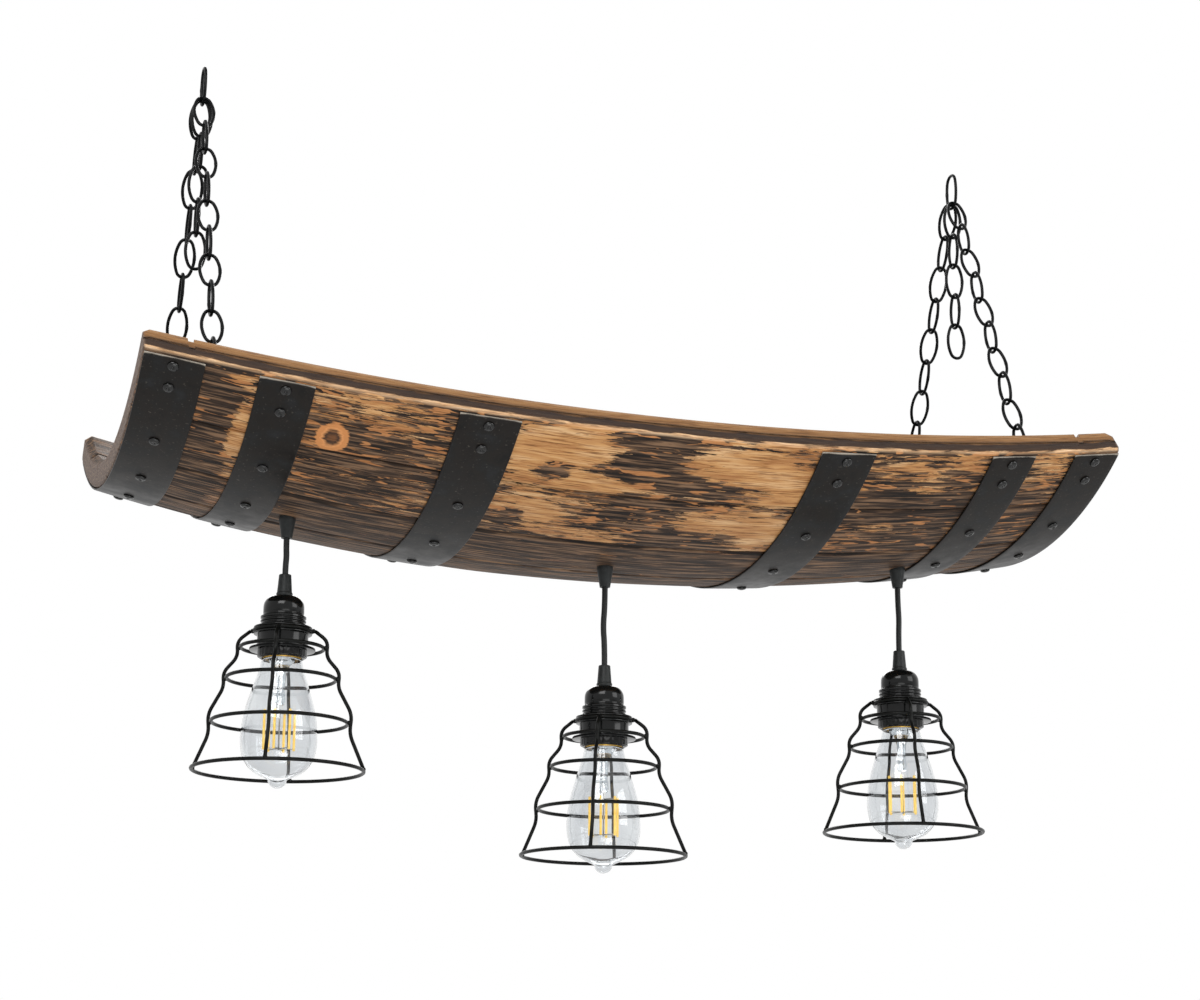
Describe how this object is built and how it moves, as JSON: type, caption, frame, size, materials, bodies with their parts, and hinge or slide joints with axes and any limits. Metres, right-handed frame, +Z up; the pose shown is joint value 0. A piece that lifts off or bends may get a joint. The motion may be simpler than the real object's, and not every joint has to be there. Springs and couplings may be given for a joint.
{
  "type": "barrel chandelier",
  "caption": "Curved barrel-stave panel with black steel hoops, hung on two forked chains, carrying caged screw-base bulb pendants on short cords.",
  "frame": {"origin": "middle of the line between the two hang points, at the inner top of the hanger links", "axes": "+X along the panel to the viewer's right, +Y away from the viewer, +Z up"},
  "size_m": [0.88, 0.4254, 0.7084],
  "materials": {
    "charred_oak": "charred and brushed oak, satin oil",
    "hoop_steel": "blackened strip steel, satin",
    "black_screw": "black oxide",
    "chain_steel": "gloss black enamel",
    "cage_wire": "satin black powder coat",
    "bakelite": "moulded black, glossy",
    "strain_relief": "moulded black nylon, matte",
    "cord_jacket": "round black jacket",
    "brass": "stamped, bright",
    "bulb_glass": "clear",
    "filament": "yellow phosphor coating",
    "zinc_steel": "galvanised sheet",
    "zinc_screw": "zinc plated",
    "wire_nut": "moulded"
  },
  "bodies": {
    "hangers": {"hanger_links": "chain_steel"},
    "swivel_left": {"swivel_links_left": "chain_steel"},
    "strands_left": {"chain_left": "chain_steel"},
    "spare_left": {"spare_chain_left": "chain_steel"},
    "swivel_right": {"swivel_links_right": "chain_steel"},
    "strands_right": {"chain_right": "chain_steel"},
    "spare_right": {"spare_chain_right": "chain_steel"},
    "panel": {"stave_1": "charred_oak", "stave_2": "charred_oak", "stave_3": "charred_oak", "stave_4": "charred_oak", "stave_5": "charred_oak", "stave_6": "charred_oak", "head_hoop_left": "hoop_steel", "head_hoop_right": "hoop_steel", "quarter_hoop_left": "hoop_steel", "quarter_hoop_right": "hoop_steel", "bilge_hoop_left": "hoop_steel", "bilge_hoop_right": "hoop_steel", "hoop_screws": "black_screw", "screw_eyes": "chain_steel", "cord_glands": "strain_relief", "gland_locknuts": "zinc_steel", "junction_box": "zinc_steel", "junction_box_cover": "zinc_steel", "inlet_bushing": "strain_relief", "box_screws": "zinc_screw", "wire_nuts": "wire_nut", "panel_wiring": "cord_jacket", "cable_clips": "zinc_steel"},
    "cord_left": {"pendant_cord_left": "cord_jacket"},
    "lamp_left": {"cord_grip_left": "strain_relief", "holder_cap_left": "bakelite", "lampholder_left": "bakelite", "screw_shell_left": "brass", "shade_rings_left": "bakelite", "wire_cage_left": "cage_wire"},
    "bulb_left": {"bulb_glass_left": "bulb_glass", "bulb_cap_left": "brass", "bulb_filaments_left": "filament"},
    "cord_middle": {"pendant_cord_middle": "cord_jacket"},
    "lamp_middle": {"cord_grip_middle": "strain_relief", "holder_cap_middle": "bakelite", "lampholder_middle": "bakelite", "screw_shell_middle": "brass", "shade_rings_middle": "bakelite", "wire_cage_middle": "cage_wire"},
    "bulb_middle": {"bulb_glass_middle": "bulb_glass", "bulb_cap_middle": "brass", "bulb_filaments_middle": "filament"},
    "cord_right": {"pendant_cord_right": "cord_jacket"},
    "lamp_right": {"cord_grip_right": "strain_relief", "holder_cap_right": "bakelite", "lampholder_right": "bakelite", "screw_shell_right": "brass", "shade_rings_right": "bakelite", "wire_cage_right": "cage_wire"},
    "bulb_right": {"bulb_glass_right": "bulb_glass", "bulb_cap_right": "brass", "bulb_filaments_right": "filament"}
  },
  "joints": [
    {"name": "swing_left", "type": "hinge", "parent": "hangers", "child": "swivel_left", "pos_m": [-0.374, 0, -0.0245], "axis": [1, 0, 0], "range_deg": [-15, 15]},
    {"name": "sway_left", "type": "hinge", "parent": "swivel_left", "child": "strands_left", "pos_m": [-0.374, 0, -0.05441], "axis": [0, 1, 0], "range_deg": [-8, 8]},
    {"name": "panel_level", "type": "hinge", "parent": "strands_left", "child": "panel", "pos_m": [-0.374, 0, -0.32408], "axis": [0, 1, 0], "range_deg": [-8, 8]},
    {"name": "swing_right", "type": "hinge", "parent": "hangers", "child": "swivel_right", "pos_m": [0.374, 0, -0.0245], "axis": [1, 0, 0], "range_deg": [-15, 15]},
    {"name": "sway_right", "type": "hinge", "parent": "swivel_right", "child": "strands_right", "pos_m": [0.374, 0, -0.05441], "axis": [0, 1, 0], "range_deg": [-8, 8]},
    {"name": "spare_sway_left", "type": "hinge", "parent": "swivel_left", "child": "spare_left", "pos_m": [-0.374, 0, -0.0579], "axis": [0, 1, 0], "range_deg": [-8, 8]},
    {"name": "spare_sway_right", "type": "hinge", "parent": "swivel_right", "child": "spare_right", "pos_m": [0.374, 0, -0.0579], "axis": [0, 1, 0], "range_deg": [-8, 8]},
    {"name": "cord_swing_left", "type": "hinge", "parent": "panel", "child": "cord_left", "pos_m": [-0.287, -0.022, -0.4302], "axis": [1, 0, 0], "range_deg": [-15, 15]},
    {"name": "lamp_sway_left", "type": "hinge", "parent": "cord_left", "child": "lamp_left", "pos_m": [-0.287, -0.022, -0.4622], "axis": [0, 1, 0], "range_deg": [-15, 15]},
    {"name": "bulb_turn_left", "type": "hinge", "parent": "lamp_left", "child": "bulb_left", "pos_m": [-0.287, -0.022, -0.4622], "axis": [0, 0, -1], "range_deg": [0, 1080]},
    {"name": "cord_swing_middle", "type": "hinge", "parent": "panel", "child": "cord_middle", "pos_m": [0.003, -0.022, -0.45104], "axis": [1, 0, 0], "range_deg": [-15, 15]},
    {"name": "lamp_sway_middle", "type": "hinge", "parent": "cord_middle", "child": "lamp_middle", "pos_m": [0.003, -0.022, -0.52204], "axis": [0, 1, 0], "range_deg": [-15, 15]},
    {"name": "bulb_turn_middle", "type": "hinge", "parent": "lamp_middle", "child": "bulb_middle", "pos_m": [0.003, -0.022, -0.52204], "axis": [0, 0, -1], "range_deg": [0, 1080]},
    {"name": "cord_swing_right", "type": "hinge", "parent": "panel", "child": "cord_right", "pos_m": [0.293, -0.022, -0.42931], "axis": [1, 0, 0], "range_deg": [-15, 15]},
    {"name": "lamp_sway_right", "type": "hinge", "parent": "cord_right", "child": "lamp_right", "pos_m": [0.293, -0.022, -0.48931], "axis": [0, 1, 0], "range_deg": [-15, 15]},
    {"name": "bulb_turn_right", "type": "hinge", "parent": "lamp_right", "child": "bulb_right", "pos_m": [0.293, -0.022, -0.48931], "axis": [0, 0, -1], "range_deg": [0, 1080]}
  ],
  "couplings": [
    {"joint": "swing_right", "follows": "swing_left", "ratio": 1},
    {"joint": "sway_right", "follows": "sway_left", "ratio": 1},
    {"joint": "panel_level", "follows": "sway_left", "ratio": -1}
  ]
}
